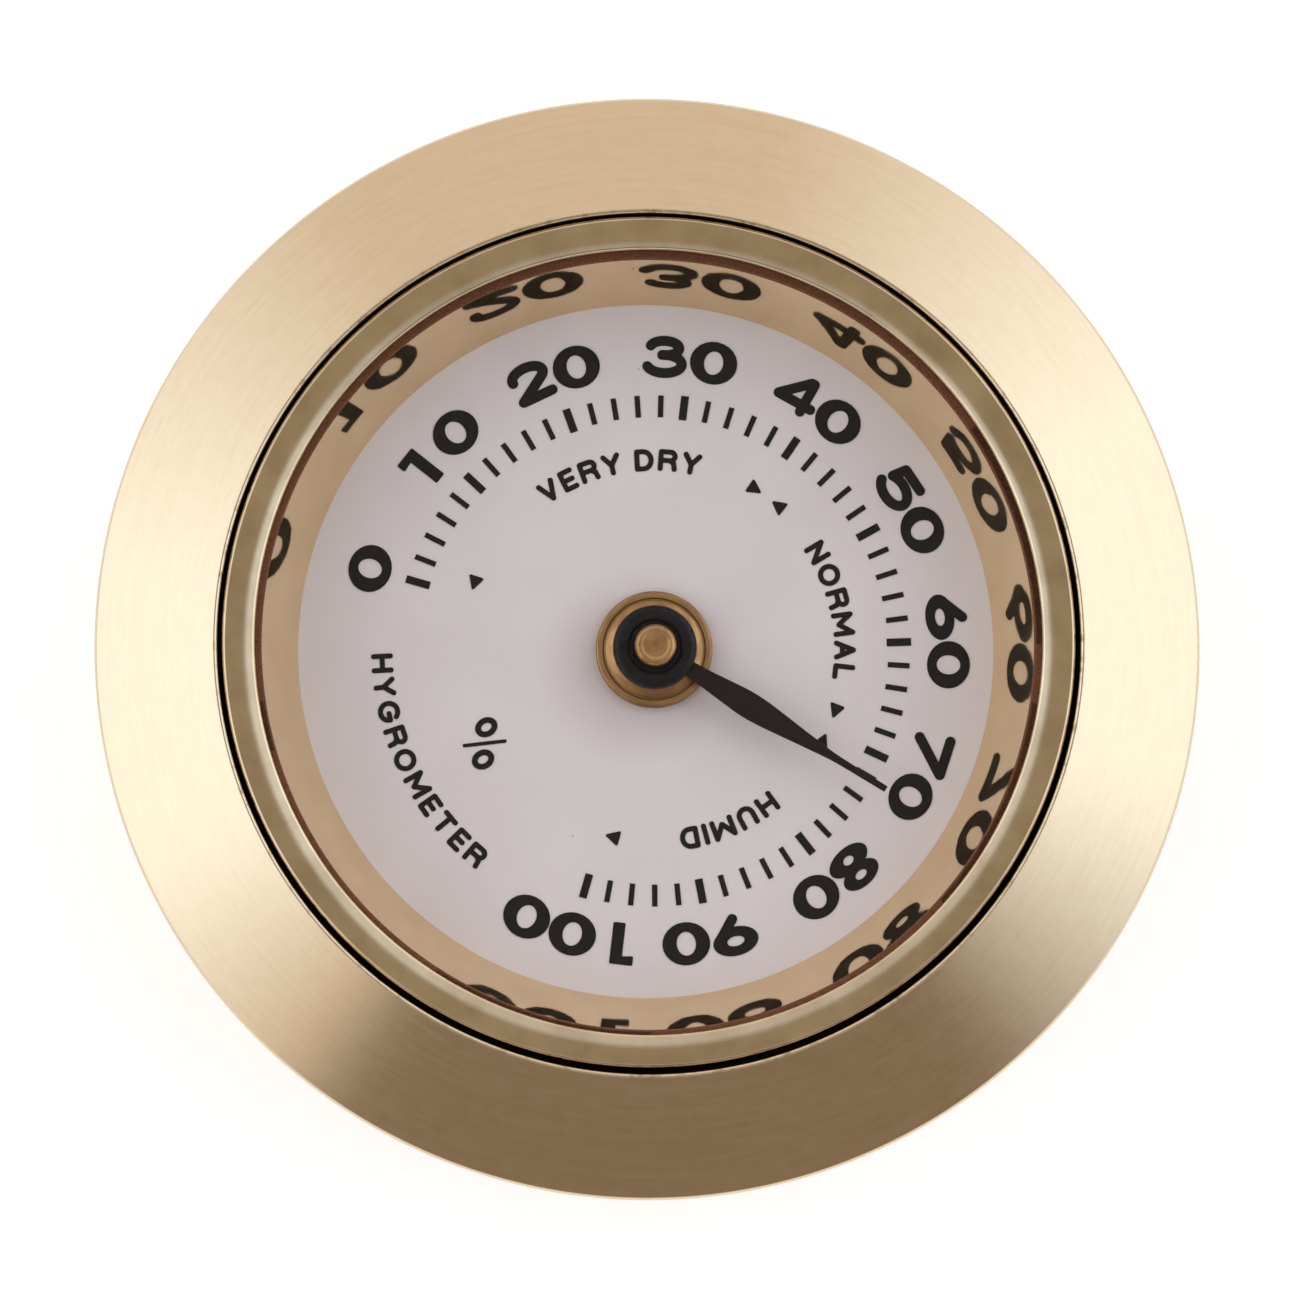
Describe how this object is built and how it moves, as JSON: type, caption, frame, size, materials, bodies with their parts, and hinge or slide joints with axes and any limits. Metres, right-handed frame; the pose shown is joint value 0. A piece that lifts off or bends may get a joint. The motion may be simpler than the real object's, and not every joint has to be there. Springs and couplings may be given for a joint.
{
  "type": "dial hygrometer",
  "caption": "Small round panel-mount dial hygrometer: conical bezel ring, rolled cartridge case, printed humidity dial, pointer on an arbor turned by a moisture-sensing coil.",
  "frame": {"origin": "centre of the flange's seat plane, on the instrument's axis", "axes": "+Z out of the dial towards the reader, +Y towards twelve o'clock on the dial"},
  "size_m": [0.045, 0.045, 0.0124],
  "materials": {
    "brass_satin": "satin turned brass, fine circular lay, clear lacquer",
    "brass_case": "drawn brass, bright rolled bead",
    "brass_mirror": "polished cone, mirrors the dial",
    "brass_turned": "turned brass, slightly tarnished",
    "brass_cap": "faced brass button",
    "glass_clear": "clear flat glass",
    "rubber_black": "matt black rubber",
    "rubber_brown": "dark brown rubber",
    "dial_paint": "pale satin enamel on an aluminium plate, slight lilac tint",
    "ink_black": "screen-printed black ink",
    "pointer_paint": "black enamel on a thin plate",
    "hub_black": "black moulded ring, soft gloss",
    "plastic_black": "black moulded plastic",
    "steel_ground": "ground steel",
    "steel_sheet": "stamped steel sheet",
    "coil_bronze": "rolled bronze strip",
    "film_paper": "hygroscopic paper film"
  },
  "bodies": {
    "housing": {"bezel": "brass_satin", "friction_band": "rubber_black", "case": "brass_case", "lens": "glass_clear", "lens_gasket": "rubber_brown", "reflector_ring": "brass_mirror", "dial": "dial_paint", "scale_ticks": "ink_black", "scale_numerals": "ink_black", "zone_words": "ink_black", "zone_markers": "ink_black", "dial_title": "ink_black", "dial_bush": "brass_turned", "spacer_ring": "plastic_black", "friction_washer": "steel_sheet"},
    "adjuster": {"adjuster_hub": "brass_turned", "adjuster_arm": "steel_sheet", "coil_post": "brass_turned", "humidity_coil": "coil_bronze", "moisture_film": "film_paper"},
    "indicator": {"arbor": "steel_ground", "arbor_cap": "brass_cap", "pointer": "pointer_paint", "pointer_hub": "hub_black", "coil_collet": "brass_turned"}
  },
  "joints": [
    {"name": "calibration_turn", "type": "hinge", "parent": "housing", "child": "adjuster", "pos_m": [0.00032, 0.00008, -0.009], "axis": [0, 0, 1], "range_deg": [-30, 30]},
    {"name": "pointer_swing", "type": "hinge", "parent": "adjuster", "child": "indicator", "pos_m": [0.00032, 0.00008, -0.0085], "axis": [0, 0, 1], "range_deg": [-73.84, 196.16], "stiffness_Nm_per_rad": 0.00001}
  ]
}
